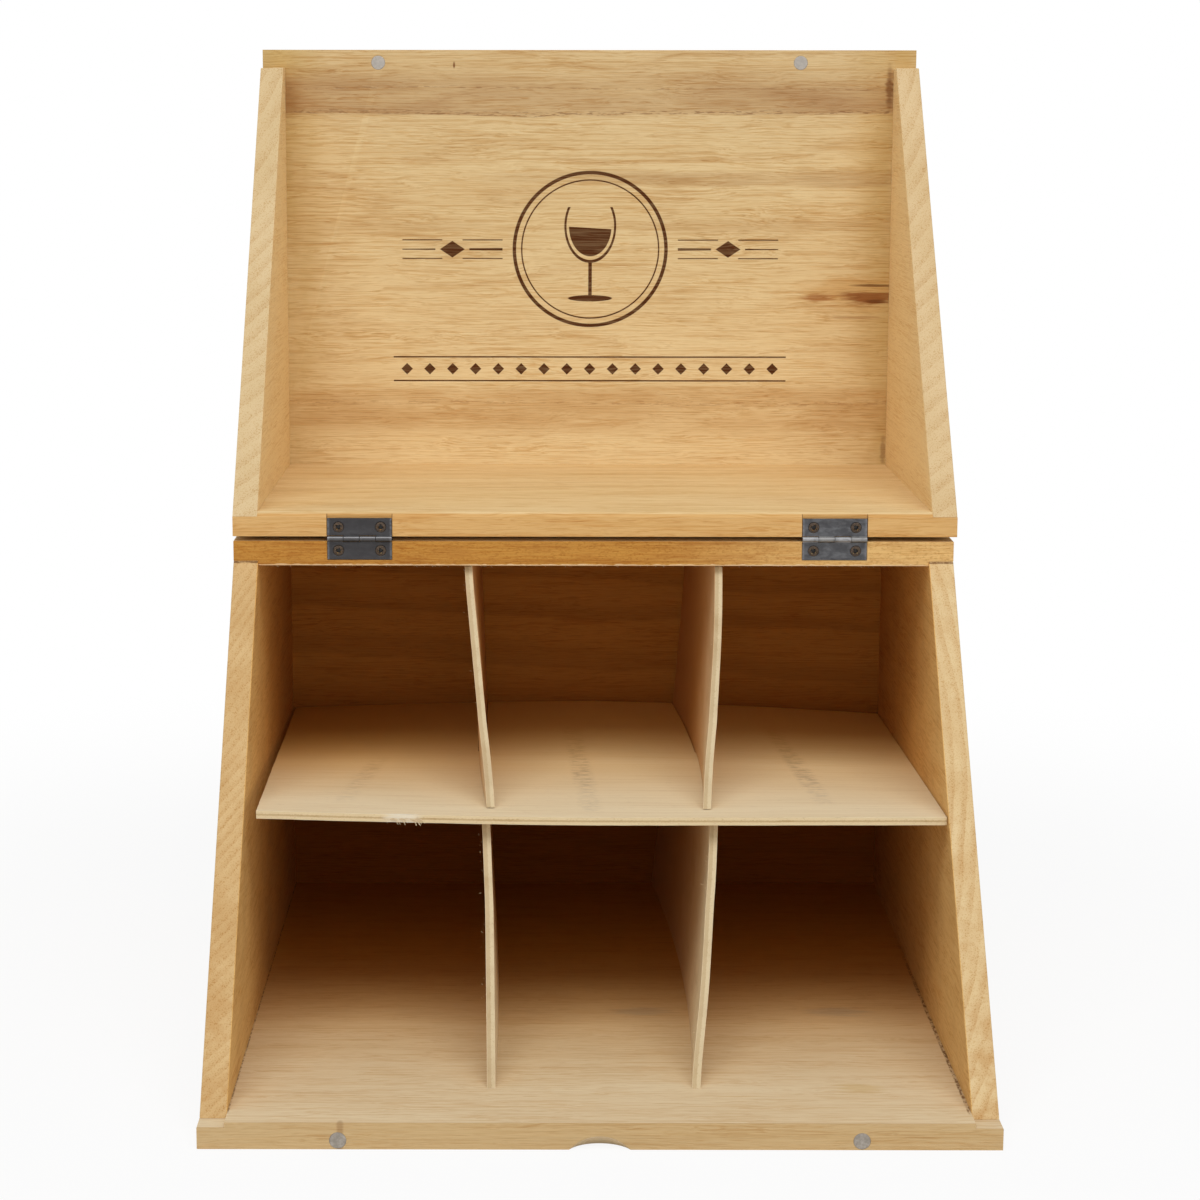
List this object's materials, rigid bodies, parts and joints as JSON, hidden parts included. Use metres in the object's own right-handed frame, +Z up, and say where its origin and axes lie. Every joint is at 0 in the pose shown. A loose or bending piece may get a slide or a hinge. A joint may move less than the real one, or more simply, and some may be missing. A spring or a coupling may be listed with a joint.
{
  "type": "wooden wine box",
  "caption": "Slant-front paulownia wine box with a plywood rack of bottle bays; its wedge-shaped lid is hinged on the top and lies open, upside-down on the box.",
  "frame": {"origin": "centre of the box's underside, under the floor and back boards", "axes": "+Z up, +Y from the open slanted front to the back board, +X to the right seen from the front"},
  "size_m": [0.2814, 0.3331, 0.3781],
  "materials": {
    "paulownia": "sanded, unfinished",
    "plywood": "sanded, unfinished",
    "hinge_steel": "dull, blued",
    "screw_bronze": "dark bronzed",
    "magnet_nickel": "nickel-plated, dull"
  },
  "bodies": {
    "box": {"floor_board": "paulownia", "back_board": "paulownia", "left_side_board": "paulownia", "right_side_board": "paulownia", "top_board": "paulownia", "shelf": "plywood", "left_divider": "plywood", "right_divider": "plywood", "left_box_leaf": "hinge_steel", "right_box_leaf": "hinge_steel", "left_hinge_pin": "hinge_steel", "right_hinge_pin": "hinge_steel", "left_box_screws": "screw_bronze", "right_box_screws": "screw_bronze", "left_floor_magnet": "magnet_nickel", "right_floor_magnet": "magnet_nickel"},
    "lid": {"lid_panel": "paulownia", "lid_strip": "paulownia", "left_lid_side": "paulownia", "right_lid_side": "paulownia", "left_lid_leaf": "hinge_steel", "right_lid_leaf": "hinge_steel", "left_lid_screws": "screw_bronze", "right_lid_screws": "screw_bronze", "left_lid_magnet": "magnet_nickel", "right_lid_magnet": "magnet_nickel"}
  },
  "joints": [
    {"name": "lid_hinge", "type": "hinge", "parent": "box", "child": "lid", "pos_m": [0, -0.00295, 0.18995], "axis": [1, 0, 0], "range_deg": [0, 180.5]}
  ]
}
